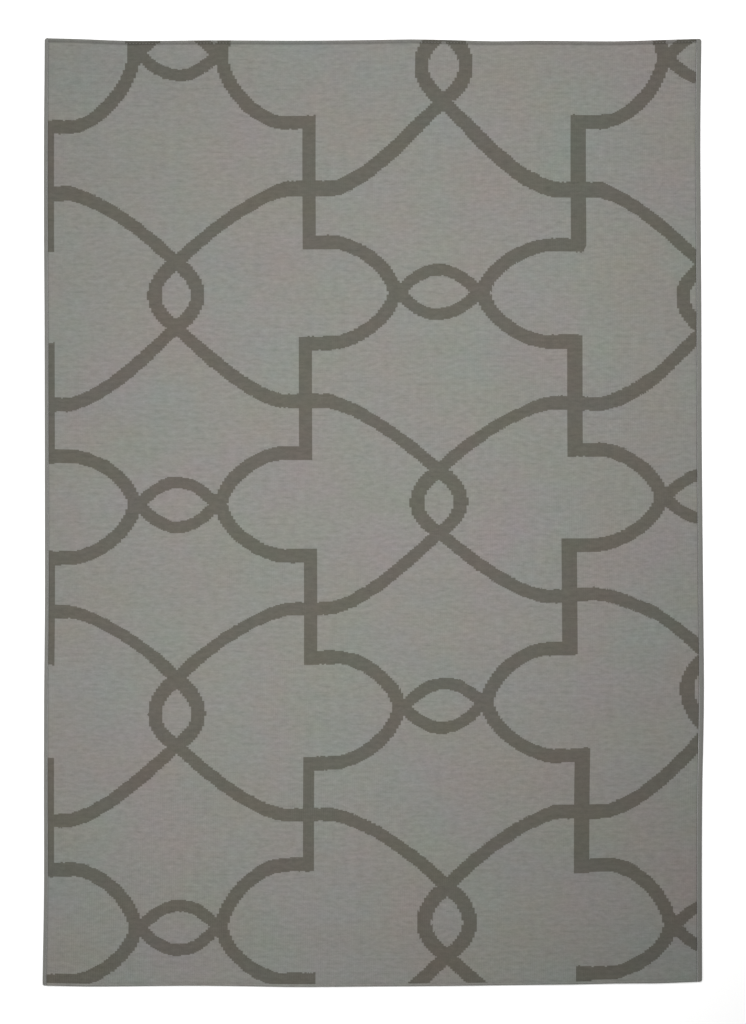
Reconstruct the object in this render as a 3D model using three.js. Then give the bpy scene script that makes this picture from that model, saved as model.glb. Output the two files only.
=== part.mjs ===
// Flat-woven wool rug with an overcast cord down each long side, lying flat with its face up.
// Millimetres, +Z up, +Y towards the far end, origin under the middle of the rug.

import * as THREE from "three";

// Driving dimensions of the finished rug
const rugWidth = 1600;
const rugLength = 2300;
const clothThickness = 5;
const pieceGap = 0.3;

// Overcast side cords
const leftCordWidth = 8;
const rightCordWidth = 11;
const cordHeight = 6.4;
const cordCornerRadius = 6;
const cordCornerDistances = [0, 0.5, 1.7, 3.5, cordCornerRadius];
const cordEndHeightShare = 0.55;
const cordSectionPoints = 12;
const cordSquareness = 0.72;

// Rounding of the cloth's rim, and the resolution of its face
const rimHeight = 2.4;
const sideRimRadius = 2.2;
const sideRimDistances = [0, 0.9, sideRimRadius];
const endRimRadius = 3.2;
const undersideInset = 0.5;
const columnStep = 50;
const rowStep = 57.5;

// How far each long edge wanders out from its straight line, by distance along the rug
const sideDrift = [
  { along: -1150, left: 4.1, right: 0.2 },
  { along: -920, left: 0.7, right: -0.5 },
  { along: -690, left: 0.8, right: 0.5 },
  { along: -460, left: 0.5, right: 4.6 },
  { along: -230, left: -1.6, right: 2.9 },
  { along: 0, left: -1.5, right: 0.7 },
  { along: 230, left: -1.2, right: -1.0 },
  { along: 460, left: -0.7, right: -1.5 },
  { along: 690, left: 0.6, right: -2.9 },
  { along: 920, left: 0.5, right: -4.1 },
  { along: 1150, left: -1.2, right: -1.7 },
];

// How far each hemmed end wanders out from its straight line, by distance across the rug
const endDrift = [
  { across: -800, near: 0.1, far: 5.2 },
  { across: -700, near: 2.3, far: 2.6 },
  { across: -600, near: 2.1, far: -1.3 },
  { across: -500, near: 0.9, far: -1.1 },
  { across: -400, near: 0.6, far: 0.0 },
  { across: -300, near: 1.8, far: -0.3 },
  { across: -200, near: 3.5, far: -0.7 },
  { across: -100, near: 3.3, far: -0.3 },
  { across: 0, near: 2.4, far: 0.9 },
  { across: 100, near: 1.8, far: 2.4 },
  { across: 200, near: 0.9, far: 0.4 },
  { across: 300, near: -0.4, far: -2.2 },
  { across: 400, near: -1.6, far: -0.9 },
  { across: 500, near: -2.7, far: -1.8 },
  { across: 600, near: -5.0, far: -2.3 },
  { across: 700, near: -5.5, far: 0.6 },
  { across: 800, near: -9.4, far: 3.5 },
];

// The turned and sewn end hem: what it adds to the cloth's thickness, by distance from the end
const hemProfile = [
  { fromEnd: 0, lift: 1.4 },
  { fromEnd: 0.7, lift: 1.4 },
  { fromEnd: 2.2, lift: 1.6 },
  { fromEnd: 3.4, lift: 1.55 },
  { fromEnd: 4.6, lift: 1.25 },
  { fromEnd: 5.7, lift: 0.45 },
  { fromEnd: 6.8, lift: 0.1 },
  { fromEnd: 7.9, lift: 0.3 },
  { fromEnd: 9.4, lift: 0.6 },
  { fromEnd: 22, lift: 0.5 },
  { fromEnd: 36, lift: 0 },
];

const woolCloth = new THREE.MeshStandardMaterial({ color: 0x8b8a85, roughness: 0.95, metalness: 0 });
const overcastYarn = new THREE.MeshStandardMaterial({ color: 0x858580, roughness: 0.9, metalness: 0 });

// The cords share the cloth's rows past their rounded corners, so that the gap between them stays even
const hemDistances = hemProfile.map((row) => row.fromEnd);
const cordRimDistances = [
  ...cordCornerDistances,
  ...hemDistances.filter((distance) => distance > cordCornerRadius),
];

// A smooth curve through evenly spaced table rows, read by distance
function driftCurve(rows, distanceColumn, driftColumn) {
  const curve = new THREE.SplineCurve(
    rows.map((row) => new THREE.Vector2(row[distanceColumn], row[driftColumn])),
  );
  const first = rows[0][distanceColumn];
  const last = rows[rows.length - 1][distanceColumn];
  return (distance) => {
    const share = THREE.MathUtils.clamp((distance - first) / (last - first), 0, 1);
    return curve.getPoint(share).y;
  };
}

const leftDrift = driftCurve(sideDrift, "along", "left");
const rightDrift = driftCurve(sideDrift, "along", "right");
const nearDrift = driftCurve(endDrift, "across", "near");
const farDrift = driftCurve(endDrift, "across", "far");

// The finished rug's outline: each edge as a position for a distance along or across
const leftEdge = (along) => -rugWidth / 2 - leftDrift(along);
const rightEdge = (along) => rugWidth / 2 + rightDrift(along);
const nearEdge = (across) => -rugLength / 2 - nearDrift(across);
const farEdge = (across) => rugLength / 2 + farDrift(across);

function hemLift(fromEnd) {
  for (let i = 1; i < hemProfile.length; i += 1) {
    const before = hemProfile[i - 1];
    const after = hemProfile[i];
    if (fromEnd <= after.fromEnd) {
      return THREE.MathUtils.mapLinear(fromEnd, before.fromEnd, after.fromEnd, before.lift, after.lift);
    }
  }
  return 0;
}

// A quarter-round rise from 0 at the rim to 1 at one radius in
function quarterRound(distance, radius) {
  const remaining = 1 - Math.min(distance / radius, 1);
  return Math.sqrt(1 - remaining * remaining);
}

// Distances from one edge to the other: the given rim distances at both edges and even steps between
function stationsAcross(size, rimDistances, step) {
  const rim = rimDistances[rimDistances.length - 1];
  const evenCount = Math.round((size - 2 * rim) / step);
  const evenStep = (size - 2 * rim) / evenCount;
  const stations = [...rimDistances];
  for (let i = 1; i < evenCount; i += 1) {
    stations.push(rim + i * evenStep);
  }
  for (const distance of [...rimDistances].reverse()) {
    stations.push(size - distance);
  }
  return stations;
}

function closedGeometry(points, triangles) {
  const geometry = new THREE.BufferGeometry();
  geometry.setAttribute("position", new THREE.Float32BufferAttribute(points.flatMap((p) => p.toArray()), 3));
  geometry.setIndex(triangles.flat());
  geometry.computeVertexNormals();
  return geometry;
}

// The woven cloth: a face of rows and columns that follows all four edges, a rounded rim and a flat underside
function wovenField() {
  const clothLeft = (along) => leftEdge(along) + leftCordWidth + pieceGap;
  const clothRight = (along) => rightEdge(along) - rightCordWidth - pieceGap;
  const clothWidth = clothRight(0) - clothLeft(0);
  const columns = stationsAcross(clothWidth, sideRimDistances, columnStep);
  const rows = stationsAcross(rugLength, hemDistances, rowStep);
  const points = [];
  for (const row of rows) {
    for (const column of columns) {
      const straightX = clothLeft(0) + column;
      const straightY = -rugLength / 2 + row;
      const x = THREE.MathUtils.lerp(clothLeft(straightY), clothRight(straightY), column / clothWidth);
      const y = THREE.MathUtils.lerp(nearEdge(straightX), farEdge(straightX), row / rugLength);
      const fromSide = Math.min(column, clothWidth - column);
      const fromEnd = Math.min(row, rugLength - row);
      const fullHeight = clothThickness + hemLift(fromEnd);
      const rise = quarterRound(fromSide, sideRimRadius) * quarterRound(fromEnd, endRimRadius);
      points.push(new THREE.Vector3(x, y, rimHeight + (fullHeight - rimHeight) * rise));
    }
  }

  const columnCount = columns.length;
  const rowCount = rows.length;
  const pointIndex = (row, column) => row * columnCount + column;
  const triangles = [];
  for (let row = 0; row < rowCount - 1; row += 1) {
    for (let column = 0; column < columnCount - 1; column += 1) {
      const nearLeft = pointIndex(row, column);
      const nearRight = pointIndex(row, column + 1);
      const farLeft = pointIndex(row + 1, column);
      const farRight = pointIndex(row + 1, column + 1);
      triangles.push([nearLeft, nearRight, farRight], [nearLeft, farRight, farLeft]);
    }
  }

  const rim = [];
  for (let column = 0; column < columnCount - 1; column += 1) {
    rim.push({ row: 0, column });
  }
  for (let row = 0; row < rowCount - 1; row += 1) {
    rim.push({ row, column: columnCount - 1 });
  }
  for (let column = columnCount - 1; column > 0; column -= 1) {
    rim.push({ row: rowCount - 1, column });
  }
  for (let row = rowCount - 1; row > 0; row -= 1) {
    rim.push({ row, column: 0 });
  }

  const underside = rim.map(({ row, column }) => {
    const above = points[pointIndex(row, column)];
    const inwardX = (column === 0 ? 1 : 0) - (column === columnCount - 1 ? 1 : 0);
    const inwardY = (row === 0 ? 1 : 0) - (row === rowCount - 1 ? 1 : 0);
    return new THREE.Vector3(above.x + inwardX * undersideInset, above.y + inwardY * undersideInset, 0);
  });
  const firstBelow = points.length;
  points.push(...underside);
  rim.forEach(({ row, column }, i) => {
    const next = (i + 1) % rim.length;
    const above = pointIndex(row, column);
    const aboveNext = pointIndex(rim[next].row, rim[next].column);
    triangles.push([above, firstBelow + i, firstBelow + next], [above, firstBelow + next, aboveNext]);
  });
  const contour = underside.map((point) => new THREE.Vector2(point.x, point.y));
  for (const [a, b, c] of THREE.ShapeUtils.triangulateShape(contour, [])) {
    triangles.push([firstBelow + c, firstBelow + b, firstBelow + a]);
  }
  return closedGeometry(points, triangles);
}

// The rounded, flat-bottomed section of a side cord: points from 0 to 1 in width and height
function cordSection() {
  const halfTurnShare = Math.PI / cordSectionPoints;
  const tallest = Math.pow(Math.cos(halfTurnShare), cordSquareness);
  const section = [];
  for (let i = 0; i < cordSectionPoints; i += 1) {
    const angle = (2 * i + 1) * halfTurnShare;
    const across = Math.sign(Math.cos(angle)) * Math.pow(Math.abs(Math.cos(angle)), cordSquareness);
    const up = Math.sign(Math.sin(angle)) * Math.pow(Math.abs(Math.sin(angle)), cordSquareness);
    section.push({ across: (1 + across / tallest) / 2, up: (1 + up / tallest) / 2 });
  }
  return section;
}

// A side cord: its section carried along one long edge, with the outer corner rounded at each end
function sideCord(edgeAt, width, outward) {
  const section = cordSection();
  const stations = stationsAcross(rugLength, cordRimDistances, rowStep);
  const points = [];
  for (const station of stations) {
    const along = -rugLength / 2 + station;
    const outerX = edgeAt(along);
    const innerX = outerX - outward * width;
    const nearY = nearEdge(outerX);
    const farY = farEdge(outerX);
    const y = THREE.MathUtils.lerp(nearY, farY, station / rugLength);
    const fromEnd = Math.min(station, rugLength - station);
    const fullness = quarterRound(fromEnd, cordCornerRadius);
    const stationWidth = width - cordCornerRadius * (1 - fullness);
    const stationHeight = cordHeight * THREE.MathUtils.lerp(cordEndHeightShare, 1, fullness);
    for (const { across, up } of section) {
      points.push(new THREE.Vector3(innerX + outward * across * stationWidth, y, up * stationHeight));
    }
  }

  const triangles = [];
  const addFace = (a, b, c) => triangles.push(outward > 0 ? [a, b, c] : [a, c, b]);
  for (let station = 0; station < stations.length - 1; station += 1) {
    for (let i = 0; i < cordSectionPoints; i += 1) {
      const next = (i + 1) % cordSectionPoints;
      const here = station * cordSectionPoints;
      const beyond = here + cordSectionPoints;
      addFace(here + i, beyond + next, here + next);
      addFace(here + i, beyond + i, beyond + next);
    }
  }
  const lastRing = (stations.length - 1) * cordSectionPoints;
  for (let i = 1; i < cordSectionPoints - 1; i += 1) {
    addFace(0, i, i + 1);
    addFace(lastRing, lastRing + i + 1, lastRing + i);
  }
  return closedGeometry(points, triangles);
}

function namedPiece(name, geometry, material) {
  const piece = new THREE.Mesh(geometry, material);
  piece.name = name;
  return piece;
}

const rug = new THREE.Group();
rug.name = "flat_woven_rug";
rug.add(namedPiece("woven_field", wovenField(), woolCloth));
rug.add(namedPiece("side_cord_left", sideCord(leftEdge, leftCordWidth, -1), overcastYarn));
rug.add(namedPiece("side_cord_right", sideCord(rightEdge, rightCordWidth, 1), overcastYarn));

// The wandering edges leave the box off centre by a millimetre or two, so the rug is set to the middle of it
const box = new THREE.Box3().setFromObject(rug);
const middle = box.getCenter(new THREE.Vector3());
rug.position.set(-middle.x, -middle.y, -box.min.z);

export default rug;
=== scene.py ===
"""Flat-woven wool rug: the trellis cloth, its overcast side cords and its sewn hems, in metres."""

import math

import bpy
import numpy as np
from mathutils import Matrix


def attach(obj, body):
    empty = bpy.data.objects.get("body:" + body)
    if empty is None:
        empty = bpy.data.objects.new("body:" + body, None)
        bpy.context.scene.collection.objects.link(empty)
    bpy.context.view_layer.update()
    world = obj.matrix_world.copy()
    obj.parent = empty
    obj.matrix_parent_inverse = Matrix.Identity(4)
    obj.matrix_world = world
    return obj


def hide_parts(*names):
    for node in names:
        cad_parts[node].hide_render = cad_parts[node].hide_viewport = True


bl_info = {
    "name": "Flat-woven wool rug",
    "version": (1, 0, 0),
    "blender": (4, 5, 0),
    "location": "3D View > Sidebar > Rug",
    "description": "Dresses the packed rug in its cloth, overcast cords and sewn hems, and sets its stage",
    "category": "Object",
}

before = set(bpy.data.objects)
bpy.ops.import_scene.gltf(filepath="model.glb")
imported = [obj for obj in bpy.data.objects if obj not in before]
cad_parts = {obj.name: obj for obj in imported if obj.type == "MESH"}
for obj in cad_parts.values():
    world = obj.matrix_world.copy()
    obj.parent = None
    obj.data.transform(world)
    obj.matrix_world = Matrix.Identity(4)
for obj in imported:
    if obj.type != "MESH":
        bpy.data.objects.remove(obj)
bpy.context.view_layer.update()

MM = 0.001
PHOTO_SIZE = (746, 1024)
PHOTO_PIXEL = 2.434 * MM
PHOTO_RUG_MIDDLE = (373.3, 512.6)

# The turned and sewn hem: what it adds to the cloth's thickness, by distance from the end, in mm
HEM_PROFILE = (
    (0, 1.4), (0.7, 1.4), (2.2, 1.6), (3.4, 1.55), (4.6, 1.25), (5.7, 0.45), (6.8, 0.1),
    (7.9, 0.3), (9.4, 0.6), (14, 0.62), (22, 0.5), (30, 0.2), (36, 0),
)
HEM_GROOVE = 6.8 * MM

# Height of the cloth's outermost edge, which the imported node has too
RIM_HEIGHT = 2.4 * MM

# Where the trellis's rows sit on the rug: the row's number, what crosses there, and how far up the
# rug it lies at the left, middle and right columns of the repeat, and for bars further right too,
# in mm from the rug's middle. Most are read off the photo's lines. Those further right and those of
# lines that an edge cuts off are estimates
TRELLIS_ROWS = (
    (0.5, "eyes", 1118, 1085, 1111),
    (1, "bar tops", 937, 950, 950, 950, 950),
    (1, "bars", 773, 786, 784, 780, 780),
    (1, "bar feet", 651, 658, 651, 648, 646),
    (1.5, "eyes", 528, 537, 525),
    (2, "bar tops", 396, 412, 416, 392, 398),
    (2, "bars", 261, 271, 264, 250, 262),
    (2, "bar feet", 136, 145, 153, 153, 153),
    (2.5, "eyes", 19, 24, 40),
    (3, "bar tops", -111, -105, -79, -76, -74),
    (3, "bars", -243, -235, -200, -181, -193),
    (3, "bar feet", -354, -354, -329, -293, -300),
    (3.5, "eyes", -492, -470, -427),
    (4, "bar tops", -614, -611, -590, -584, -584),
    (4, "bars", -752, -735, -727, -728, -729),
    (4, "bar feet", -869, -856, -860, -850, -850),
    (4.5, "eyes", -1010, -997, -1007),
    (5, "bar tops", -1139, -1136, -1120, -1120, -1120),
    (5, "bars", -1269, -1269, -1264, -1264, -1264),
)
FURTHER_RIGHT = (690, 800)

# Where the trellis's columns sit, in mm to the right of the rug's middle, by row number
TRELLIS_BARS = (
    (1, -795, -157, 498),
    (2, -795, -165, 490),
    (3, -795, -153, 477),
    (4, -795, -158, 509),
    (5, -795, -160, 510),
)
TRELLIS_EYES = (
    (0.5, -475, 171, 807),
    (1.5, -480, 157, 805),
    (2.5, -475, 159, 807),
    (3.5, -479, 170, 817),
    (4.5, -472, 180, 827),
)

# How many warps wide the left, middle and right bars are, from row 1 to row 5
BAR_WARPS = ((7, 6, 7), (7, 6, 7), (7, 6, 7), (7, 5, 7), (7, 6, 7))

# How far a bar and an eye keep their column, in rows up and down from their own
BAR_HOLD = 0.25
EYE_HOLD = 0.1

# The last pass of trellis weft at the near end, before the plain hem
PLAIN_HEM = 7.5 * MM


def length(name, description, default):
    """A size that a user may change, in metres."""
    return bpy.props.FloatProperty(
        name=name, description=description, default=default, unit="LENGTH", precision=5
    )


def measure(name, description, default):
    """A plain number that a user may change."""
    return bpy.props.FloatProperty(name=name, description=description, default=default)


def colour(name, description, default):
    """A colour that a user may change, in linear light."""
    return bpy.props.FloatVectorProperty(
        name=name, description=description, default=default, subtype="COLOR", size=3, min=0, max=1
    )


def share(name, description, default):
    """A part of one that a user may change."""
    return bpy.props.FloatProperty(
        name=name, description=description, default=default, subtype="FACTOR", min=0, max=1
    )


class RugTrellis(bpy.types.PropertyGroup):
    """Sizes of the trellis that is woven into the cloth."""

    column_spacing: length("Column spacing", "Half the width of the repeat", 0.322)
    row_spacing: length("Row spacing", "Half the height of the repeat", 0.254)
    bar_reach: length("Bar reach", "Middle of a bar to the middle of its flat end", 0.1275)
    flat_width: length("Flat width", "Width of the flat line at a bar's end", 0.034)
    flat_reach: length("Flat reach", "Middle of a bar to where the flat line starts to curve", 0.063)
    arc_reach: length("Arc reach", "Middle of a bar to the end of its arc", 0.2155)
    arc_width: length("Arc width", "Width of an arc", 0.033)
    arc_fullness: measure("Arc fullness", "2 is a round arc and less is flatter", 1.63)
    lying_eye_height: length("Lying eye height", "Half height of an eye that lies down", 0.054)
    lying_eye_reach: length("Lying eye reach", "Middle of a lying eye to where its lines cross", 0.094)
    lying_eye_width: length("Lying eye line", "Width of a lying eye's line", 0.029)
    standing_eye_width: length("Standing eye width", "Half width of an eye that stands", 0.0535)
    standing_eye_reach: length("Standing eye reach", "Middle of a standing eye to its crossing", 0.079)
    standing_eye_line: length("Standing eye line", "Width of a standing eye's line", 0.034)
    strand_start: length("Strand start", "Middle of a bar to where a strand leaves the level", 0.052)
    strand_rise: length("Strand rise", "How far a strand climbs to the eye", 0.175)
    strand_bend: measure("Strand bend", "1 is a straight strand and more is a rounder one", 1.48)
    strand_level_width: length("Level strand width", "Width of a strand where it crosses a bar", 0.033)
    strand_width: length("Strand width", "Width of a strand where it climbs", 0.031)


class RugCloth(bpy.types.PropertyGroup):
    """Sizes and colours of the woven cloth."""

    rib_pitch: length("Rib pitch", "Distance from one warp to the next", 0.00535)
    weft_pitch: length("Weft pitch", "Distance from one pass of weft over a warp to the next", 0.0028)
    thickness: length("Thickness", "Height of the cloth away from its hems", 0.005)
    rib_height: length("Rib height", "How far a warp stands out of the cloth", 0.00035)
    weft_height: length("Weft height", "How far a pass of weft stands out of a rib", 0.0004)
    undulation: length("Undulation", "How far the cloth rises and falls as it lies", 0.0004)
    wander: length("Wander", "How far a woven line strays from its drawn place", 0.003)
    ground: colour("Ground wool", "Colour of the plain ground", (0.264, 0.26, 0.238))
    line: colour("Line wool", "Colour of the trellis", (0.131, 0.124, 0.103))
    abrash: share("Abrash", "How much the wool's shade differs from pass to pass", 0.05)
    # Painted shade: darkens the far hem's stitched groove and rim most, and the near hem's roll and the sides
    # by the cords less, where the cloth's relief lies in shade
    painted_edge_shade: share("Edge shade", "How much darker the stitched far hem is", 0.34)


class RugCords(bpy.types.PropertyGroup):
    """Sizes and colour of the overcast side cords."""

    wrap_pitch: length("Wrap pitch", "Distance from one turn of yarn to the next", 0.0022)
    wrap_relief: length("Wrap relief", "Depth of the groove between two turns", 0.0004)
    yarn: colour("Overcast yarn", "Colour of the yarn round the cords", (0.233, 0.233, 0.215))


class RugHems(bpy.types.PropertyGroup):
    """Sizes and colour of the hem stitches."""

    stitch_pitch: length("Stitch pitch", "Distance from one stitch to the next", 0.0078)
    stitch_length: length("Stitch length", "Length of a stitch on the face", 0.0058)
    thread: length("Thread", "Diameter of the thread", 0.0013)
    thread_colour: colour("Thread colour", "Colour of the thread", (0.225, 0.222, 0.204))


class RugStage(bpy.types.PropertyGroup):
    """Floor, lights and camera."""

    floor: colour("Floor", "Colour of the floor", (0.93, 0.93, 0.925))
    floor_lift: share("Floor glow", "Light that the pale floor gives off by itself", 0.42)
    sky: share("Sky", "Strength of the even light from all round", 0.12)
    key_power: measure("Key power", "Power of the main light in watts", 67.3)
    fill_power: measure("Fill power", "Power of the second light in watts", 8.5)
    lens: measure("Lens", "Focal length of the camera in mm", 100)


SETTINGS = {
    "rug_trellis": RugTrellis,
    "rug_cloth": RugCloth,
    "rug_cords": RugCords,
    "rug_hems": RugHems,
    "rug_stage": RugStage,
}


def one_node(operation):
    """A method of a reading that adds one math node."""
    return lambda reading, *others: reading.calculate(operation, *others)


class Reading:
    """A value that changes over a surface: one output socket, which plain arithmetic carries on from."""

    def __init__(self, tree, socket):
        self.tree = tree
        self.socket = socket

    def calculate(self, operation, *others):
        node = self.tree.nodes.new("ShaderNodeMath")
        node.operation = operation
        for value, entry in zip((self, *others), node.inputs):
            feed(self.tree, value, entry)
        return Reading(self.tree, node.outputs[0])

    __add__ = one_node("ADD")
    __sub__ = one_node("SUBTRACT")
    __mul__ = one_node("MULTIPLY")
    __truediv__ = one_node("DIVIDE")
    __pow__ = one_node("POWER")
    __lt__ = one_node("LESS_THAN")
    __gt__ = one_node("GREATER_THAN")
    __abs__ = one_node("ABSOLUTE")
    __round__ = one_node("ROUND")
    floor = one_node("FLOOR")
    fraction = one_node("FRACT")
    root = one_node("SQRT")
    cosine = one_node("COSINE")
    at_least = one_node("MAXIMUM")
    at_most = one_node("MINIMUM")

    def less_from(self, whole):
        """The whole less this value."""
        return (self * -1) + whole

    def with_slope(self):
        """The length of a line's run of one and this rise."""
        return (self * self + 1).root()

    def rounded(self):
        """The height of a round thread at this distance from its middle, which is 0.5 at its edge."""
        return (self * self * 4).less_from(1).at_least(0.0).root()

    def eased(self, start, end, at_start, at_end):
        """A smooth change from one value to another as this one goes from start to end."""
        node = self.tree.nodes.new("ShaderNodeMapRange")
        node.interpolation_type = "SMOOTHSTEP"
        for value, entry in zip((self, start, end, at_start, at_end), node.inputs):
            feed(self.tree, value, entry)
        return Reading(self.tree, node.outputs[0])


def feed(tree, value, entry):
    """Links a reading or a socket to an input, or sets a plain value on it."""
    if isinstance(value, Reading):
        tree.links.new(value.socket, entry)
    elif isinstance(value, bpy.types.NodeSocket):
        tree.links.new(value, entry)
    else:
        entry.default_value = value


def add_node(tree, kind, settings=None, **values):
    """A new node with its settings, and with values on its inputs by name, spaces as underscores."""
    node = tree.nodes.new(kind)
    for name, value in (settings or {}).items():
        setattr(node, name, value)
    for name, value in values.items():
        entry = next(e for e in node.inputs if e.enabled and e.name == name.replace("_", " "))
        feed(tree, value, entry)
    return node


def live_output(node, name):
    """The output of that name that the node's settings leave in use, as a reading."""
    return Reading(node.id_data, next(o for o in node.outputs if o.enabled and o.name == name))


def new_group(name, kind, inputs, outputs):
    """An empty node group with named sockets: the group, a reading for each input, and its end node."""
    group = bpy.data.node_groups.new(name, kind)
    for label, socket_kind, default in inputs:
        socket = group.interface.new_socket(label, in_out="INPUT", socket_type="NodeSocket" + socket_kind)
        if default is not None:
            socket.default_value = default
    for label, socket_kind in outputs:
        group.interface.new_socket(label, in_out="OUTPUT", socket_type="NodeSocket" + socket_kind)
    start = group.nodes.new("NodeGroupInput")
    end = group.nodes.new("NodeGroupOutput")
    readings = {label: Reading(group, start.outputs[label]) for label, _, _ in inputs}
    return group, readings, end


def place_group(tree, name, **values):
    """A copy of a shader node group in a material, with values on its inputs by name."""
    return add_node(tree, "ShaderNodeGroup", {"node_tree": bpy.data.node_groups[name]}, **values)


def parts_of(tree, vector):
    """The three parts of a vector, as readings."""
    node = tree.nodes.new("ShaderNodeSeparateXYZ")
    feed(tree, vector, node.inputs[0])
    return [Reading(tree, output) for output in node.outputs]


def joined(tree, x, y, z=0.0):
    """A vector from three parts."""
    return add_node(tree, "ShaderNodeCombineXYZ", X=x, Y=y, Z=z).outputs[0]


def multiplied(tree, vector, factors):
    """A vector with each part multiplied by that part of another vector."""
    node = tree.nodes.new("ShaderNodeVectorMath")
    node.operation = "MULTIPLY"
    feed(tree, vector, node.inputs[0])
    feed(tree, factors, node.inputs[1])
    return node.outputs[0]


def noise_at(tree, position, scale, detail=2.0, roughness=0.5):
    """Smooth noise round 0.5, with about so many swells to the metre along each axis."""
    place = multiplied(tree, position, scale)
    node = add_node(tree, "ShaderNodeTexNoise", Vector=place, Scale=1.0, Detail=detail, Roughness=roughness)
    return Reading(tree, node.outputs["Fac"])


def random_number(tree, value):
    """A random number from 0 to 1, always the same one for the same value."""
    node = add_node(tree, "ShaderNodeTexWhiteNoise", {"noise_dimensions": "1D"}, W=value)
    return Reading(tree, node.outputs["Value"])


def scaled_colour(tree, tint, amount):
    """A colour multiplied by a reading."""
    node = tree.nodes.new("ShaderNodeVectorMath")
    node.operation = "SCALE"
    feed(tree, tint, node.inputs[0])
    feed(tree, amount, node.inputs["Scale"])
    return node.outputs[0]


def build_trellis_group():
    """The trellis: 1 on a line and 0 on the ground, at a place given in columns and rows of the repeat."""
    sizes = RugTrellis.bl_rna.properties
    labels = [(sizes[key].name, "Float", sizes[key].default) for key in RugTrellis.__annotations__]
    place = [("Column", "Float", 0.0), ("Row", "Float", 0.0), ("Row stretch", "Float", 1.0)]
    inputs = [*place, ("Bar width", "Float", 0.035), *labels]
    group, given, end = new_group("Trellis lines", "ShaderNodeTree", inputs, [("Lines", "Float")])

    stretch = given["Row stretch"]
    near_column = round(given["Column"])
    near_row = round(given["Row"])
    right = given["Column"] - near_column
    down = given["Row"] - near_row
    odd_crossing = ((near_column + near_row) * 0.5).fraction() > 0.25
    turned = right * down * (odd_crossing * -2 + 1)
    lying = turned > 0
    standing = turned < 0
    across = abs(right) * given["Column spacing"] * 2
    along = abs(down) * given["Row spacing"] * 2
    to_eye_across = given["Column spacing"] - across
    to_eye_along = given["Row spacing"] - along

    bar_end = given["Bar reach"] + given["Flat width"] / stretch / 2
    bar = (across < given["Bar width"] / 2) * (along < bar_end)
    from_flat = abs(along - given["Bar reach"]) * stretch
    flat = (from_flat < given["Flat width"] / 2) * (across < given["Flat reach"])

    smallest = 1e-6
    arc_run = given["Arc reach"] - given["Flat reach"]
    arc_rise = given["Row spacing"] - given["Bar reach"]
    run_share = (across - given["Flat reach"]).at_least(smallest) / arc_run
    rise_share = to_eye_along.at_least(smallest) / arc_rise
    fullness = given["Arc fullness"]
    arc_place = (run_share**fullness + rise_share**fullness) ** (fullness**-1)
    run_slope = (run_share / arc_place) ** (fullness - 1) / arc_run
    rise_slope = (rise_share / arc_place) ** (fullness - 1) / (arc_rise * stretch)
    from_arc = abs(arc_place - 1) / (run_slope * run_slope + rise_slope * rise_slope).root()
    arc = (from_arc < given["Arc width"] / 2) * (across > given["Flat reach"])

    def eye(name, half_width, place, beside):
        """Whether a point is on the two crossing curves of an eye."""
        reach = given[name + " reach"]
        curve = (place * place / (reach * reach)).less_from(1) * given[half_width]
        slope = place * given[half_width] * 2 / (reach * reach)
        return abs(beside - abs(curve)) / slope.with_slope() < given[name + " line"] / 2

    in_arc = across > given["Arc reach"]
    lying_eye = eye("Lying eye", "Lying eye height", to_eye_across, to_eye_along * stretch) * in_arc
    in_eye = to_eye_along < given["Standing eye reach"]
    standing_eye = eye("Standing eye", "Standing eye width", to_eye_along, to_eye_across) * in_eye * standing

    signed_along = along * (standing * 2 - 1)
    strand_run = given["Column spacing"] - given["Strand start"]
    strand_share = (across - given["Strand start"]).at_least(smallest) / strand_run
    strand_middle = strand_share ** given["Strand bend"] * given["Strand rise"]
    strand_slope = strand_middle * given["Strand bend"] / (strand_share * strand_run)
    narrowing = (strand_share * 3).at_most(1.0)
    level_width = given["Level strand width"]
    strand_width = level_width + (given["Strand width"] - level_width) * narrowing
    from_strand = abs(signed_along - strand_middle) / strand_slope.with_slope()
    eye_overlap = 0.02
    strand = (from_strand < strand_width / 2) * (to_eye_along > given["Standing eye reach"] - eye_overlap)

    lines = (bar + (flat + arc + lying_eye) * lying + strand + standing_eye).at_most(1.0)
    feed(group, lines, end.inputs["Lines"])


def build_wool_group():
    """Spun wool: mottled colour, fine fibres that run one way, and roughness."""
    inputs = [
        ("Color", "Color", (0.5, 0.5, 0.5, 1)),
        ("Position", "Vector", None),
        ("Mottle", "Float", 0.05),
        ("Fibre relief", "Float", 0.3),
    ]
    outputs = [("Color", "Color"), ("Height", "Float"), ("Roughness", "Float")]
    group, given, end = new_group("Spun wool", "ShaderNodeTree", inputs, outputs)
    fibres = noise_at(group, given["Position"], (350.0, 2600.0, 2600.0), 3.0, 0.6)
    tufts = noise_at(group, given["Position"], (160.0, 420.0, 420.0))
    shade = (fibres - 0.5) * given["Mottle"] * 2 + (tufts - 0.5) * given["Mottle"] * 2 + 1
    feed(group, scaled_colour(group, given["Color"], shade), end.inputs["Color"])
    feed(group, fibres * given["Fibre relief"], end.inputs["Height"])
    feed(group, (fibres - 0.5) * 0.12 + 0.93, end.inputs["Roughness"])


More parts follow.
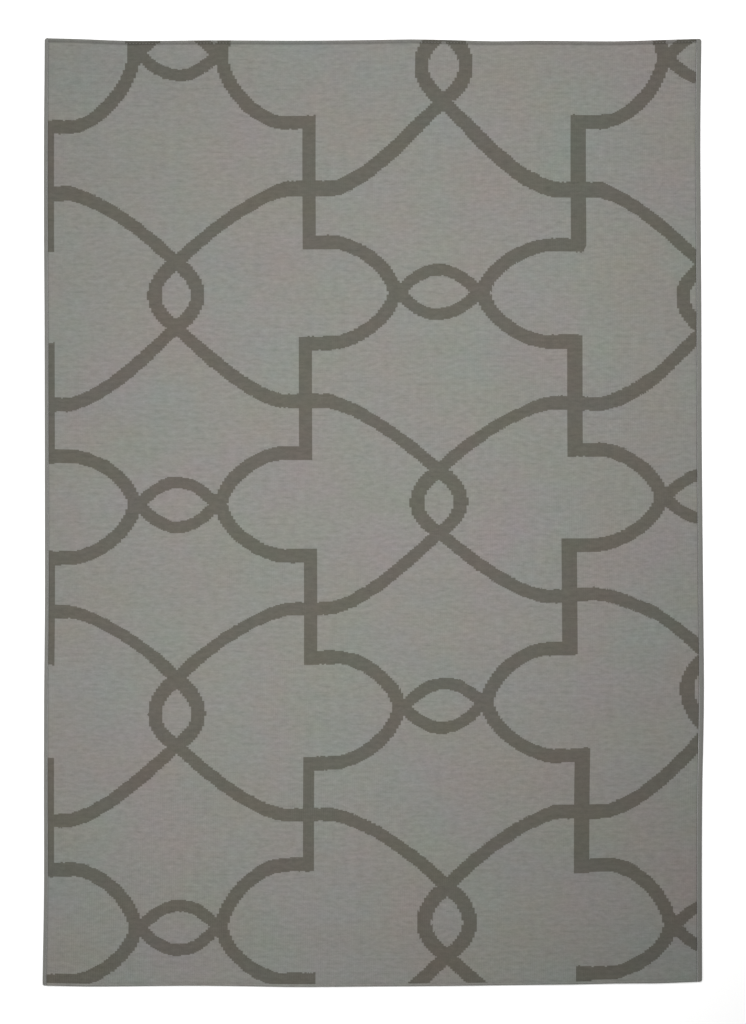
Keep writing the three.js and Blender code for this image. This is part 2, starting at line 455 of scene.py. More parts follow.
def build_weave_group():
    """Weft-faced plain weave: how far a point is from its cell's middle, its relief and its shade."""
    inputs = [("Rib", "Float", 0.0), ("Weft", "Float", 0.0)]
    outputs = [("Across", "Float"), ("Along", "Float"), ("Height", "Float"), ("Shade", "Float")]
    group, given, end = new_group("Weft-faced weave", "ShaderNodeTree", inputs, outputs)
    rib = given["Rib"].floor()
    across = given["Rib"] - rib - 0.5
    weft_place = given["Weft"] + (rib * 0.5).fraction()
    weft = weft_place.floor()
    bead = (weft_place - weft - 0.5).rounded()
    along = given["Weft"].fraction() - 0.5
    rib_round = (across * across * across * across * 16).less_from(1)
    random = add_node(
        group, "ShaderNodeTexWhiteNoise", {"noise_dimensions": "2D"}, Vector=joined(group, rib, weft)
    )
    feed(group, across, end.inputs["Across"])
    feed(group, along, end.inputs["Along"])
    feed(group, bead * rib_round, end.inputs["Height"])
    feed(group, Reading(group, random.outputs["Value"]), end.inputs["Shade"])


def new_material(name):
    """A matte wool material: its tree, its shader and the Object coordinates."""
    material = bpy.data.materials.new(name)
    material.use_nodes = True
    tree = material.node_tree
    shader = tree.nodes["Principled BSDF"]
    for entry, value in (("Specular IOR Level", 0.2), ("Sheen Weight", 0.12), ("Sheen Roughness", 0.6)):
        shader.inputs[entry].default_value = value
    position = tree.nodes.new("ShaderNodeTexCoord").outputs["Object"]
    return material, tree, shader, position


def read_attribute(tree, name):
    """The three parts of a vector that the mesh stores at its points."""
    node = tree.nodes.new("ShaderNodeAttribute")
    node.attribute_name = name
    return parts_of(tree, node.outputs["Vector"])


def spin_wool(tree, shader, position, tint, mottle, fibre_relief, depth, relief=None):
    """Ends a wool material: fibres over its colour and its relief, as bumps of that depth in metres."""
    sizes = {"Mottle": mottle, "Fibre_relief": fibre_relief}
    wool = place_group(tree, "Spun wool", Color=tint, Position=position, **sizes)
    for name, entry in (("Color", "Base Color"), ("Roughness", "Roughness")):
        feed(tree, wool.outputs[name], shader.inputs[entry])
    fibres = Reading(tree, wool.outputs["Height"])
    height = fibres if relief is None else relief + fibres
    bump = add_node(tree, "ShaderNodeBump", Strength=1.0, Distance=depth, Height=height)
    feed(tree, bump.outputs[0], shader.inputs["Normal"])


def woven_wool_material():
    """The cloth: two wools in a trellis that steps from warp to warp, with abrash and painted shade along its
    edges and hems.
    """
    cloth = bpy.context.scene.rug_cloth
    trellis = bpy.context.scene.rug_trellis
    material, tree, shader, position = new_material("trellis_woven_wool")
    column, row, stretch = read_attribute(tree, "trellis")
    bar_width, _, _ = read_attribute(tree, "trellis_bar")
    rib, weft, _ = read_attribute(tree, "weave")
    from_side, from_near, from_far = read_attribute(tree, "from_edges")
    weave = place_group(tree, "Weft-faced weave", Rib=rib, Weft=weft)
    across = Reading(tree, weave.outputs["Across"])
    along = Reading(tree, weave.outputs["Along"])

    x, y, _ = parts_of(tree, position)
    cell_middle = joined(tree, x - across * cloth.rib_pitch, y - along * cloth.weft_pitch)
    slow_wander = noise_at(tree, cell_middle, (29.0, 17.0, 1.0)) - 0.5
    warp_wander = noise_at(tree, cell_middle, (150.0, 25.0, 4.0), 1.0) - 0.5
    row_place = (slow_wander * 2 + warp_wander * 1.4) * cloth.wander + along * cloth.weft_pitch / stretch
    lines = place_group(
        tree,
        "Trellis lines",
        Column=column - across * cloth.rib_pitch / (2 * trellis.column_spacing),
        Row=row + row_place / (2 * trellis.row_spacing),
        Row_stretch=stretch,
        Bar_width=bar_width,
    )
    for key in RugTrellis.__annotations__:
        lines.inputs[trellis.bl_rna.properties[key].name].default_value = getattr(trellis, key)

    two_wools = tree.nodes.new("ShaderNodeMix")
    two_wools.data_type = "RGBA"
    trellis_wool = Reading(tree, lines.outputs["Lines"]) * (from_near > PLAIN_HEM)
    feed(tree, trellis_wool, two_wools.inputs["Factor"])
    colours = [entry for entry in two_wools.inputs if entry.type == "RGBA"]
    colours[0].default_value = (*cloth.ground, 1)
    colours[1].default_value = (*cloth.line, 1)
    mixed = next(output for output in two_wools.outputs if output.type == "RGBA")

    streaks = noise_at(tree, position, (3.0, 150.0, 1.0), 3.0, 0.7)
    slubs = noise_at(tree, position, (48.0, 120.0, 1.0), 2.0, 0.6)
    thick_passes = noise_at(tree, position, (20.0, 230.0, 3.0), 1.0).eased(0.6, 0.75, 0.0, 1.0)
    bands = noise_at(tree, position, (1.1, 14.0, 1.0))
    patches = noise_at(tree, position, (7.0, 9.0, 1.0))
    bead_shade = Reading(tree, weave.outputs["Shade"])
    uneven = (streaks - 0.5) * 2.6 + (slubs - 0.5) * 9.0 + (bands - 0.5) * 1.2 + (patches - 0.5) * 1.0
    abrash = (uneven + (bead_shade - 0.5) * 1.0 - thick_passes * 1.8) * cloth.abrash + 1
    # Painted shade: darker along the sides by the cords, in the near hem's roll, and most in the far hem's
    # stitched groove and rim, standing in for shade on the cloth's relief
    painted_side_shade = from_side.eased(0.0, 0.008, cloth.painted_edge_shade * 0.15, 0.0)
    painted_near_shade = from_near.eased(0.003, 0.008, cloth.painted_edge_shade * 0.2, 0.0)
    to_stitches = from_far.eased(0.003, 0.0065, 0.35, 1.0)
    painted_far_shade = to_stitches * from_far.eased(0.0085, 0.0125, cloth.painted_edge_shade, 0.0)
    shade = abrash * (painted_side_shade + painted_near_shade + painted_far_shade).less_from(1)
    shaded = scaled_colour(tree, mixed, shade)

    broad_red = noise_at(tree, position, (5.0, 4.0, 1.0), 1.0)
    fine_red = noise_at(tree, position, (24.0, 34.0, 1.0), 1.0)
    broad_blue = noise_at(tree, position, (4.0, 6.0, 9.0), 1.0)
    fine_blue = noise_at(tree, position, (25.0, 29.0, 9.0), 1.0)
    redder = (broad_red - 0.5) * 0.31 + (fine_red - 0.5) * 0.1
    bluer = (broad_blue - 0.5) * 0.18 + (fine_blue - 0.5) * 0.08
    tinted = multiplied(tree, shaded, joined(tree, redder * 0.7 + 1, redder * -0.3 + 1, bluer + 1))
    beads = Reading(tree, weave.outputs["Height"])
    spin_wool(tree, shader, position, tinted, 0.06, 0.25, cloth.weft_height, beads)
    return material


def plain_wool_material(name, tint):
    """One wool all over, for the thread of the hems."""
    material, tree, shader, position = new_material(name)
    spin_wool(tree, shader, position, (*tint, 1), 0.1, 1.0, 0.08 * MM)
    return material


def overcast_yarn_material():
    """The yarn round the cords: uneven wool that is lower where two turns meet, with painted shade darkening
    it there.
    """
    cords = bpy.context.scene.rug_cords
    material, tree, shader, position = new_material("overcast_wool_yarn")
    turns, _, _ = read_attribute(tree, "wrap")
    round_yarn = (turns.fraction() - 0.5).rounded()
    patches = noise_at(tree, position, (40.0, 22.0, 1.0))
    # Painted shade: the colour is darker in the groove where two turns meet, on top of random patches of tone
    shade = ((patches - 0.5) * 0.16 + 1) * (round_yarn * 0.3 + 0.76)
    tint = scaled_colour(tree, tuple(cords.yarn), shade)
    spin_wool(tree, shader, position, tint, 0.1, 0.3, cords.wrap_relief, round_yarn)
    return material


def new_geometry_tree(name, sizes, seed):
    """An empty geometry node tree, with inputs for a shape, its sizes, a seed and a material."""
    floats = [(label, "Float", value) for label, value in (*sizes.items(), ("Seed", seed))]
    inputs = [("Geometry", "Geometry", None), *floats, ("Material", "Material", None)]
    return new_group(name, "GeometryNodeTree", inputs, [("Geometry", "Geometry")])


def stored_vector(tree, name):
    """The three parts of a vector that the mesh stores at its points, for geometry nodes."""
    node = add_node(tree, "GeometryNodeInputNamedAttribute", {"data_type": "FLOAT_VECTOR"}, Name=name)
    return parts_of(tree, live_output(node, "Attribute"))


def move_points(tree, given, offset):
    """The tree's shape with each point moved."""
    return add_node(tree, "GeometryNodeSetPosition", Geometry=given["Geometry"], Offset=offset).outputs[0]


def build_rib_tree():
    """Geometry nodes that raise the warps of the cloth as ribs and let it rise and fall a little."""
    sizes = {"Rib height": 0.0004, "Rib unevenness": 0.25, "Undulation": 0.0004, "Undulation spread": 0.35}
    tree, given, end = new_geometry_tree("Woven ribs", sizes, seed=7.0)
    rib, _, face_share = stored_vector(tree, "weave")
    one_rib = random_number(tree, (rib - 0.01).floor() + given["Seed"])
    uneven = (one_rib - 0.5) * given["Rib unevenness"] + 1
    wave = (rib * math.tau).cosine().less_from(1) * 0.5 - 1
    place = tree.nodes.new("GeometryNodeInputPosition").outputs[0]
    spread = {"Scale": given["Undulation spread"] ** -1, "Detail": 1.0}
    swell = add_node(
        tree, "ShaderNodeTexNoise", {"noise_dimensions": "4D"}, Vector=place, W=given["Seed"], **spread
    )
    swell_height = (Reading(tree, swell.outputs["Fac"]) - 0.5) * given["Undulation"] * 2
    lift = (wave * uneven * given["Rib height"] + swell_height) * face_share
    finish_tree(tree, move_points(tree, given, joined(tree, 0.0, 0.0, lift)), given, end)
    return tree


def build_wrap_tree():
    """Geometry nodes that raise the turns of the overcasting yarn on a smooth cord."""
    sizes = {"Wrap relief": 0.0004, "Wrap unevenness": 0.3}
    tree, given, end = new_geometry_tree("Overcast wraps", sizes, seed=3.0)
    turns, _, side_share = stored_vector(tree, "wrap")
    round_yarn = (turns.fraction() - 0.5).rounded()
    one_turn = random_number(tree, turns.floor() + given["Seed"])
    uneven = (one_turn - 0.5) * given["Wrap unevenness"]
    inward = (round_yarn.less_from(1) + uneven.at_least(0.0)) * given["Wrap relief"] * side_share * -1
    normal = tree.nodes.new("GeometryNodeInputNormal").outputs["Normal"]
    finish_tree(tree, move_points(tree, given, scaled_colour(tree, normal, inward)), given, end)
    return tree


def build_stitch_tree():
    """Geometry nodes that lay one arched stitch after another along a hem."""
    sizes = {"Stitch pitch": 0.008, "Stitch length": 0.005, "Thread": 0.001}
    tree, given, end = new_geometry_tree("Hem stitches", sizes, seed=5.0)
    half = given["Stitch length"] / 2
    foot = given["Thread"] * -0.6
    arch = add_node(
        tree,
        "GeometryNodeCurveQuadraticBezier",
        Resolution=6,
        Start=joined(tree, half * -1, 0.0, foot),
        Middle=joined(tree, 0.0, 0.0, given["Thread"] * 0.9),
        End=joined(tree, half, 0.0, foot),
    ).outputs[0]
    radius = given["Thread"] / 2
    ring = add_node(tree, "GeometryNodeCurvePrimitiveCircle", {"mode": "RADIUS"}, Resolution=6, Radius=radius)
    section = live_output(ring, "Curve")
    stitch = add_node(tree, "GeometryNodeCurveToMesh", Curve=arch, Profile_Curve=section, Fill_Caps=True)
    steps = {"Curve": given["Geometry"], "Length": given["Stitch pitch"]}
    path = add_node(tree, "GeometryNodeResampleCurve", {"mode": "LENGTH"}, **steps)
    index = Reading(tree, tree.nodes.new("GeometryNodeInputIndex").outputs[0])
    lay = joined(tree, 0.0, 0.0, (random_number(tree, index + given["Seed"]) - 0.5) * 0.22)
    copies = {"Points": path.outputs[0], "Instance": stitch.outputs[0], "Rotation": lay}
    placed = add_node(tree, "GeometryNodeInstanceOnPoints", **copies)
    smooth = add_node(tree, "GeometryNodeSetShadeSmooth", Geometry=placed.outputs[0])
    finish_tree(tree, smooth.outputs[0], given, end)
    return tree


def finish_tree(tree, shape, given, end):
    """The last two nodes of each geometry tree, because the export drops instances."""
    real = add_node(tree, "GeometryNodeRealizeInstances", Geometry=shape).outputs[0]
    dressed = add_node(tree, "GeometryNodeSetMaterial", Geometry=real, Material=given["Material"])
    feed(tree, dressed.outputs[0], end.inputs["Geometry"])


def made_by_nodes(name, data, tree, values):
    """A plain mesh piece: what the geometry nodes make of the given mesh or curve."""
    source = bpy.data.objects.new(name + "_source", data)
    bpy.context.scene.collection.objects.link(source)
    modifier = source.modifiers.new(tree.name, "NODES")
    modifier.node_group = tree
    for socket in tree.interface.items_tree:
        if socket.in_out == "INPUT" and socket.name in values:
            modifier[socket.identifier] = values[socket.name]
    depsgraph = bpy.context.evaluated_depsgraph_get()
    mesh = bpy.data.meshes.new_from_object(
        source.evaluated_get(depsgraph), preserve_all_data_layers=True, depsgraph=depsgraph
    )
    bpy.data.objects.remove(source)
    if not mesh.polygons:
        raise RuntimeError(f"{name}: the geometry nodes made no faces")
    mesh.name = name
    piece = bpy.data.objects.new(name, mesh)
    bpy.context.scene.collection.objects.link(piece)
    return piece


def node_points(name):
    """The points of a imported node, in metres."""
    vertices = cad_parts[name].data.vertices
    points = np.empty(3 * len(vertices))
    vertices.foreach_get("co", points)
    return points.reshape(-1, 3)


def edge_line(points, axis, side):
    """One long or short edge of a node: places along it, and where the edge lies at each."""
    bin_size = 5 * MM
    most_drift = 30 * MM
    outward = points[:, axis] * side
    points = points[outward > outward.max() - most_drift]
    bins = np.round(points[:, 1 - axis] / bin_size)
    furthest = [max(points[bins == b], key=lambda point: point[axis] * side) for b in np.unique(bins)]
    return np.array([point[1 - axis] for point in furthest]), np.array([point[axis] for point in furthest])


class Outline:
    """The edges of the woven cloth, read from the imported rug."""

    def __init__(self):
        points = node_points("woven_field")
        points = points[np.abs(points[:, 2] - RIM_HEIGHT) < 0.01 * MM]
        self.lines = {
            "left": edge_line(points, 0, -1),
            "right": edge_line(points, 0, 1),
            "near": edge_line(points, 1, -1),
            "far": edge_line(points, 1, 1),
        }
        self.length = self.at("far", 0) - self.at("near", 0)
        self.width = self.at("right", 0) - self.at("left", 0)

    def at(self, side, place):
        return np.interp(place, *self.lines[side])

    def place(self, across, along):
        """A point of the cloth from its distances from the left edge and the near end."""
        straight_x = self.at("left", 0) + across
        straight_y = self.at("near", 0) + along
        x_share = across / self.width
        y_share = along / self.length
        x = self.at("left", straight_y) * (1 - x_share) + self.at("right", straight_y) * x_share
        y = self.at("near", straight_x) * (1 - y_share) + self.at("far", straight_x) * y_share
        return x, y


def trellis_place(x, y):
    """The trellis at points: its columns and rows, how far its rows stretch, and the width of its bars."""
    trellis = bpy.context.scene.rug_trellis
    bar_share = trellis.bar_reach / trellis.row_spacing / 2
    steps = {"eyes": 0, "bars": 0, "bar tops": -bar_share, "bar feet": bar_share}
    bar_columns = np.mean([row[1:] for row in TRELLIS_BARS], axis=0) * MM
    eye_columns = np.mean([row[1:] for row in TRELLIS_EYES], axis=0) * MM
    numbers = np.array([number + steps[kind] for number, kind, *_ in TRELLIS_ROWS])
    bar_columns = np.append(bar_columns, np.array(FURTHER_RIGHT) * MM)
    heights = np.array(
        [
            np.interp(x, eye_columns if kind == "eyes" else bar_columns, np.array(levels) * MM)
            for _, kind, *levels in TRELLIS_ROWS
        ]
    )
    points = np.arange(x.size)
    upper = np.clip((y <= heights).sum(axis=0) - 1, 0, len(numbers) - 2)
    row_height = (heights[upper, points] - heights[upper + 1, points]) / (numbers[upper + 1] - numbers[upper])
    row = numbers[upper] + (heights[upper, points] - y) / row_height

    columns = []
    for number in range(3):
        for table, step, hold in ((TRELLIS_BARS, 0, BAR_HOLD), (TRELLIS_EYES, 0.5, EYE_HOLD)):
            rows = [entry[0] + end for entry in table for end in (-hold, hold)]
            places = [entry[1 + number] * MM for entry in table for _ in range(2)]
            columns.append((number + step, np.interp(row, rows, places)))
    columns.append((3, columns[-1][1] + trellis.column_spacing))
    numbers = np.array([number for number, _ in columns])
    places = np.array([place for _, place in columns])
    left = np.clip((x >= places).sum(axis=0) - 1, 0, len(numbers) - 2)
    across = (x - places[left, points]) / (places[left + 1, points] - places[left, points])
    column = numbers[left] + across * (numbers[left + 1] - numbers[left])

    nearest_row = np.clip(np.round(row), 1, len(BAR_WARPS)).astype(int) - 1
    nearest_column = np.clip(np.round(column), 0, 2).astype(int)
    bar_width = np.array(BAR_WARPS)[nearest_row, nearest_column] * bpy.context.scene.rug_cloth.rib_pitch
    return column, row, row_height / (2 * trellis.row_spacing), bar_width


def quarter_round(distance, radius):
    """A quarter-round rise from 0 at a rim to 1 at one radius in."""
    remaining = 1 - np.clip(distance / radius, 0, 1)
    return np.sqrt(1 - remaining * remaining)


def store_vectors(mesh, name, x, y, z):
    """Stores a vector at each point of a mesh, where a part may be one number for all."""
    layer = mesh.attributes.new(name, "FLOAT_VECTOR", "POINT")
    layer.data.foreach_set("vector", np.stack(np.broadcast_arrays(x, y, z), axis=1).ravel())


def store_map(mesh, name, corners):
    """Stores a UV map from one pair for each corner."""
    layer = mesh.uv_layers.new(name=name)
    layer.uv.foreach_set("vector", np.asarray(corners, dtype=float).ravel())


def cloth_mesh():
    """The cloth without its relief: a fine face, a rounded rim and a coarser flat back, closed all round."""
    cloth = bpy.context.scene.rug_cloth
    outline = Outline()
    side_radius = 2.2 * MM
    end_radius = 3.2 * MM
    rim_column = 0.9 * MM
    back_inset = 0.5 * MM
    row_step = 17.5 * MM
    columns_per_back = 12
    rows_per_back = 3

    rib_count = round(outline.width / cloth.rib_pitch)
    half_rib = outline.width / rib_count / 2
    columns = list(np.linspace(0, outline.width, 2 * rib_count + 1))
    columns[1:1] = [rim_column]
    columns[-1:-1] = [outline.width - rim_column]
    hem_rows = [row[0] * MM for row in HEM_PROFILE]
    hem_depth = hem_rows[-1]
    even_rows = round((outline.length - 2 * hem_depth) / row_step)
    middle_rows = np.linspace(hem_depth, outline.length - hem_depth, even_rows + 1)[1:-1]
    rows = [*hem_rows, *middle_rows, *(outline.length - row for row in reversed(hem_rows))]
    column_count = len(columns)
    last_column = column_count - 1
    last_row = len(rows) - 1
    across, along = [grid.ravel() for grid in np.meshgrid(columns, rows)]
    x, y = outline.place(across, along)
    from_side = np.minimum(across, outline.width - across)
    from_end = np.minimum(along, outline.length - along)
    lift = np.interp(from_end / MM, *zip(*HEM_PROFILE)) * MM
    rise = quarter_round(from_side, side_radius) * quarter_round(from_end, end_radius)
    z = RIM_HEIGHT + (cloth.thickness + lift - RIM_HEIGHT) * rise

    def face_point(row, column):
        return row * column_count + column

    def inset(numbers, last):
        """How far in the back's edge is: up at a first row or column, down at the last, 0 between."""
        return (numbers == 0) * back_inset - (numbers == last) * back_inset

    back_columns = [0, *range(2, column_count - 2, columns_per_back), last_column]
    back_rows = [0, *range(3, last_row - 2, rows_per_back), last_row]
    back = [(row, column) for row in back_rows for column in back_columns]
    row_numbers, column_numbers = np.array(back).T
    back_from = face_point(row_numbers, column_numbers)
    first_back = len(x)
    x = np.append(x, x[back_from] + inset(column_numbers, last_column))
    y = np.append(y, y[back_from] + inset(row_numbers, last_row))
    z = np.append(z, np.zeros(len(back)))
    across = np.append(across, across[back_from])
    along = np.append(along, along[back_from])
    face_share = np.append(rise, np.zeros(len(back)))
    back_index = {place: first_back + i for i, place in enumerate(back)}

    faces = []
    for row in range(last_row):
        for near in range(face_point(row, 0), face_point(row, last_column)):
            faces.append((near, near + 1, near + column_count + 1, near + column_count))
    front_faces = len(faces)
    for row, next_row in zip(back_rows, back_rows[1:]):
        for column, next_column in zip(back_columns, back_columns[1:]):
            ring = ((row, column), (next_row, column), (next_row, next_column), (row, next_column))
            faces.append([back_index[place] for place in ring])
    back_faces = len(faces)

    sides = [
        ((0, -1), [(0, c) for c in range(column_count)]),
        ((1, 0), [(r, last_column) for r in range(last_row + 1)]),
        ((0, 1), [(last_row, c) for c in range(last_column, -1, -1)]),
        ((-1, 0), [(r, 0) for r in range(last_row, -1, -1)]),
    ]
    outward = []
    for direction, ring in sides:
        held = [i for i, place in enumerate(ring) if place in back_index]
        for start, stop in zip(held, held[1:]):
            middle = (start + stop) // 2
            below_start = back_index[ring[start]]
            below_stop = back_index[ring[stop]]
            for i in range(start, stop):
                below = below_start if i < middle else below_stop
                faces.append((below, face_point(*ring[i + 1]), face_point(*ring[i])))
            faces.append((below_start, below_stop, face_point(*ring[middle])))
            outward += [direction] * (stop - start + 1)

    mesh = bpy.data.meshes.new("woven_field_cloth")
    mesh.from_pydata(np.stack([x, y, z], axis=1).tolist(), [], faces)
    mesh.polygons.foreach_set("use_smooth", np.ones(len(faces), dtype=bool))
    column, row, stretch, bar_width = trellis_place(x, y)
    store_vectors(mesh, "trellis", column, row, stretch)
    store_vectors(mesh, "trellis_bar", bar_width, 0, 0)
    store_vectors(mesh, "weave", across / half_rib / 2, along / cloth.weft_pitch, face_share)
    from_side = np.minimum(across, outline.width - across)
    store_vectors(mesh, "from_edges", from_side, along, outline.length - along)

    margin = 0.004
    low = np.array([x.min(), y.min()])
    size = np.array([np.ptp(x), np.ptp(y)])
    front_scale = (1 - 2 * margin) / size[1]
    back_left = margin * 3 + size[0] * front_scale
    back_scale = (1 - margin - back_left) / size[0]
    corners = []
    for i, face in enumerate(faces):
        for point in face:
            flat = np.array([x[point], y[point]]) - low
            if i < front_faces or (i >= back_faces and point < first_back):
                place = margin + flat * front_scale
            elif i < back_faces:
                place = np.array([back_left, margin]) + flat * back_scale
            else:
                place = margin + flat * front_scale + np.array(outward[i - back_faces]) * margin / 2
            corners.append(place)
    store_map(mesh, "OFBake", corners)
    sharp_angle = math.radians(60)
    mesh.set_sharp_from_angle(angle=sharp_angle)
    return mesh


def cord_mesh(node, outward):
    """A smooth side cord with a ring of points for each part of a turn of yarn, and its maps."""
    cords = bpy.context.scene.rug_cords
    points = node_points(node)
    rings_per_turn = 4
    section_count = 16
    squareness = 0.72
    strip_count = 10

    bin_size = 0.2 * MM
    bins = np.round(points[:, 1] / bin_size)
    stations = [points[bins == b] for b in np.unique(bins)]
    stations = [station for station in stations if np.ptp(station[:, 2]) > MM]
    station_y = np.array([station[:, 1].mean() for station in stations])
    inner = np.array([(station[:, 0] * outward).min() * outward for station in stations])
    outer = np.array([(station[:, 0] * outward).max() * outward for station in stations])
    tops = np.array([station[:, 2].max() for station in stations])

    ring_step = cords.wrap_pitch / rings_per_turn
    ring_count = round(np.ptp(station_y) / ring_step) + 1
    y = np.linspace(station_y[0], station_y[-1], ring_count)
    x_inner = np.interp(y, station_y, inner)
    x_outer = np.interp(y, station_y, outer)
    height = np.interp(y, station_y, tops)
    angles = (np.arange(section_count) + 0.5) * math.tau / section_count - math.tau / 4
    tallest = math.cos(math.pi / section_count) ** squareness
    widths = np.sign(np.cos(angles)) * np.abs(np.cos(angles)) ** squareness / tallest
    heights = np.sign(np.sin(angles)) * np.abs(np.sin(angles)) ** squareness / tallest
    ring_x = x_inner[:, None] + (x_outer - x_inner)[:, None] * (1 + widths) / 2
    ring_z = height[:, None] * (1 + heights) / 2
    ring_y = np.broadcast_to(y[:, None], ring_x.shape)

    ring, spoke = np.meshgrid(np.arange(ring_count), np.arange(section_count), indexing="ij")
    turns = (ring + 0.5) / rings_per_turn + spoke / section_count
    end_share = np.minimum(ring, ring_count - 1 - ring) > 1
    off_floor = ring_z > 0.3 * MM

    faces = []
    corners = []
    strip_rings = math.ceil((ring_count - 1) / strip_count)
    perimeter = 2 * (np.ptp(ring_x[ring_count // 2]) + height.max())
    strip_scale = min(0.98 / (strip_rings * ring_step), 0.98 / (strip_count * perimeter * 1.1))
    for i in range(ring_count - 1):
        strip = i // strip_rings
        for k in range(section_count):
            after = (k + 1) % section_count
            quad = ((i, k, k), (i, after, k + 1), (i + 1, after, k + 1), (i + 1, k, k))
            quad = quad if outward < 0 else quad[::-1]
            faces.append([a * section_count + b for a, b, _ in quad])
            for a, _, map_spoke in quad:
                u = 0.01 + (strip * 1.1 + map_spoke / section_count) * perimeter * strip_scale
                v = 0.01 + (a - strip * strip_rings) * ring_step * strip_scale
                corners.append((u, v))
    caps = [list(range(section_count)), [(ring_count - 1) * section_count + k for k in range(section_count)]]
    caps[0 if outward < 0 else 1].reverse()
    for cap, v in zip(caps, (0.003, 0.997)):
        faces.append(cap)
        corners += [(0.99 + 0.004 * math.cos(k), v + 0.002 * math.sin(k)) for k in range(section_count)]

    mesh = bpy.data.meshes.new(node + "_wraps")
    mesh.from_pydata(np.stack([ring_x, ring_y, ring_z], axis=2).reshape(-1, 3).tolist(), [], faces)
    mesh.polygons.foreach_set("use_smooth", np.ones(len(faces), dtype=bool))
    side_share = (end_share & off_floor).astype(float)
    store_vectors(mesh, "wrap", turns.ravel(), spoke.ravel() / section_count, side_share.ravel())
    store_map(mesh, "OFBake", corners)
    return mesh


def hem_path(end):
    """The line that a hem's stitches follow: the stitched groove of that end, from cord to cord."""
    outline = Outline()
    cloth = bpy.context.scene.rug_cloth
    across = np.linspace(4 * MM, outline.width - 4 * MM, 60)
    along = HEM_GROOVE if end == "near" else outline.length - HEM_GROOVE
    x, y = outline.place(across, np.full(across.shape, along))
    height = cloth.thickness + np.interp(HEM_GROOVE / MM, *zip(*HEM_PROFILE)) * MM - cloth.rib_height
    path = bpy.data.curves.new(f"hem_path_{end}", "CURVE")
    path.dimensions = "3D"
    spline = path.splines.new("POLY")
    spline.points.add(len(across) - 1)
    for point, px, py in zip(spline.points, x, y):
        point.co = (px, py, height, 1)
    return path


def hand_over(piece, slot, *nodes):
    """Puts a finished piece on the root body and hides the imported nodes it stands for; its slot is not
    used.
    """
    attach(piece, "root")
    if nodes:
        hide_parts(*nodes)


class RUG_OT_cords(bpy.types.Operator):
    """Wraps the yarn round both side cords"""

    bl_idname = "rug.cords"
    bl_label = "Overcast side cords"

    def execute(self, context):
        cords = context.scene.rug_cords
        material = overcast_yarn_material()
        tree = build_wrap_tree()
        for node, outward in (("side_cord_left", -1), ("side_cord_right", 1)):
            values = {"Wrap relief": cords.wrap_relief, "Material": material}
            piece = made_by_nodes(node + "_wraps", cord_mesh(node, outward), tree, values)
            hand_over(piece, "overcast_yarn", node)
        return {"FINISHED"}


class RUG_OT_hems(bpy.types.Operator):
    """Sews the turned hem at each end"""

    bl_idname = "rug.hems"
    bl_label = "Hem stitches"

    def execute(self, context):
        hems = context.scene.rug_hems
        material = plain_wool_material("hem_thread", hems.thread_colour)
        tree = build_stitch_tree()
        for end in ("near", "far"):
            values = {"Stitch pitch": hems.stitch_pitch, "Stitch length": hems.stitch_length}
            values.update({"Thread": hems.thread, "Material": material})
            piece = made_by_nodes(f"hem_stitches_{end}", hem_path(end), tree, values)
            hand_over(piece, "overcast_yarn")
        return {"FINISHED"}


class RUG_OT_cloth(bpy.types.Operator):
    """Weaves the cloth with its trellis"""

    bl_idname = "rug.cloth"
    bl_label = "Woven cloth"

    def execute(self, context):
        cloth = context.scene.rug_cloth
        build_trellis_group()
        build_weave_group()
        values = {"Rib height": cloth.rib_height, "Undulation": cloth.undulation}
        values["Material"] = woven_wool_material()
        piece = made_by_nodes("woven_field_cloth", cloth_mesh(), build_rib_tree(), values)
        hand_over(piece, "woven_wool", "woven_field")
        outline = Outline()
        return {"FINISHED"}


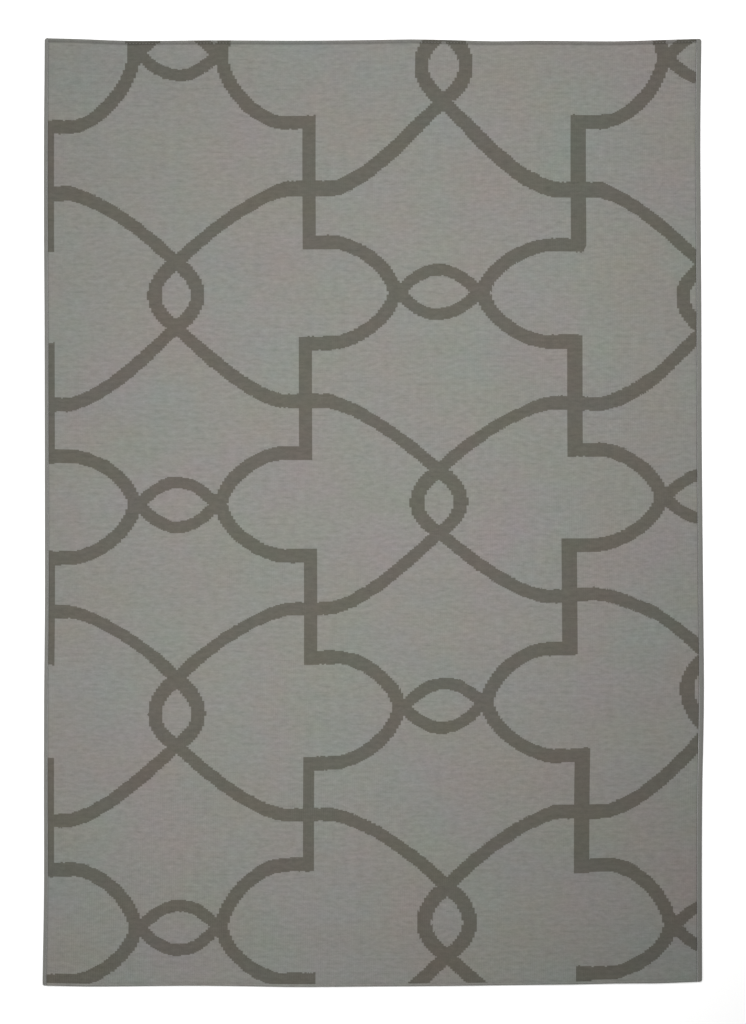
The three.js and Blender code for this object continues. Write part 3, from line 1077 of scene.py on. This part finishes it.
class RUG_OT_stage(bpy.types.Operator):
    """Lays the pale floor and sets the lights and the camera over the rug"""

    bl_idname = "rug.stage"
    bl_label = "Stage"

    def execute(self, context):
        stage = context.scene.rug_stage
        self.lay_floor(stage)
        self.add_light("key_softbox", place=(0.05, 0.77, 2.72), size=1.0, power=stage.key_power)
        self.add_light("fill_softbox", place=(-0.45, -0.88, 1.2), size=1.8, power=stage.fill_power)
        world = bpy.data.worlds.new("studio")
        world.use_nodes = True
        background = world.node_tree.nodes["Background"]
        background.inputs["Color"].default_value = (1, 1, 1, 1)
        background.inputs["Strength"].default_value = stage.sky
        context.scene.world = world
        context.scene.view_settings.view_transform = "Standard"
        self.add_camera(context, stage)
        return {"FINISHED"}

    def lay_floor(self, stage):
        radius = 30
        corner_count = 64
        mesh = bpy.data.meshes.new("studio_floor")
        turns = [i * math.tau / corner_count for i in range(corner_count)]
        corners = [(radius * math.cos(turn), radius * math.sin(turn), 0) for turn in turns]
        mesh.from_pydata(corners, [], [range(corner_count)])
        floor = bpy.data.objects.new("studio_floor", mesh)
        floor.location.z = -0.1 * MM
        bpy.context.scene.collection.objects.link(floor)
        material = bpy.data.materials.new("pale_floor")
        material.use_nodes = True
        tree = material.node_tree
        shader = tree.nodes["Principled BSDF"]
        position = tree.nodes.new("ShaderNodeTexCoord").outputs["Object"]
        grain = noise_at(tree, position, (60.0, 60.0, 60.0), 3.0)
        tint = scaled_colour(tree, tuple(stage.floor), (grain - 0.5) * 0.01 + 1)
        finish = {"Base Color": tint, "Roughness": 0.9, "Specular IOR Level": 0.1}
        finish.update({"Emission Color": (1, 1, 1, 1), "Emission Strength": stage.floor_lift})
        for entry, value in finish.items():
            feed(tree, value, shader.inputs[entry])
        mesh.materials.append(material)

    def add_light(self, name, place, size, power):
        light = bpy.data.lights.new(name, "AREA")
        light.shape = "SQUARE"
        light.size = size
        light.energy = power
        lamp = bpy.data.objects.new(name, light)
        lamp.location = place
        lamp.visible_camera = False
        bpy.context.scene.collection.objects.link(lamp)

    def add_camera(self, context, stage):
        data = bpy.data.cameras.new("overhead")
        data.lens = stage.lens
        data.sensor_width = 36
        data.clip_end = 100
        camera = bpy.data.objects.new("overhead", data)
        width, height = PHOTO_SIZE
        to_right = (width / 2 - PHOTO_RUG_MIDDLE[0]) * PHOTO_PIXEL
        up = (PHOTO_RUG_MIDDLE[1] - height / 2) * PHOTO_PIXEL
        distance = stage.lens * height * PHOTO_PIXEL / data.sensor_width
        camera.location = (to_right, up, distance)
        context.scene.collection.objects.link(camera)
        context.scene.camera = camera


OPERATORS = (RUG_OT_cords, RUG_OT_hems, RUG_OT_cloth, RUG_OT_stage)


class RUG_PT_workshop(bpy.types.Panel):
    """The rug's pieces and sizes"""

    bl_idname = "RUG_PT_workshop"
    bl_label = "Flat-woven rug"
    bl_space_type = "VIEW_3D"
    bl_region_type = "UI"
    bl_category = "Rug"

    def draw(self, context):
        for operator in OPERATORS:
            self.layout.operator(operator.bl_idname)
        for name, group in SETTINGS.items():
            box = self.layout.box()
            for key in group.__annotations__:
                box.prop(getattr(context.scene, name), key)


CLASSES = (*SETTINGS.values(), *OPERATORS, RUG_PT_workshop)


def register():
    for new_class in CLASSES:
        bpy.utils.register_class(new_class)
    for name, group in SETTINGS.items():
        setattr(bpy.types.Scene, name, bpy.props.PointerProperty(type=group))


def unregister():
    for name in SETTINGS:
        delattr(bpy.types.Scene, name)
    for old_class in reversed(CLASSES):
        bpy.utils.unregister_class(old_class)


def main():
    register()
    build_wool_group()
    bpy.ops.rug.cords()
    bpy.ops.rug.hems()
    bpy.ops.rug.cloth()
    bpy.ops.rug.stage()


if __name__ == "__main__":
    main()
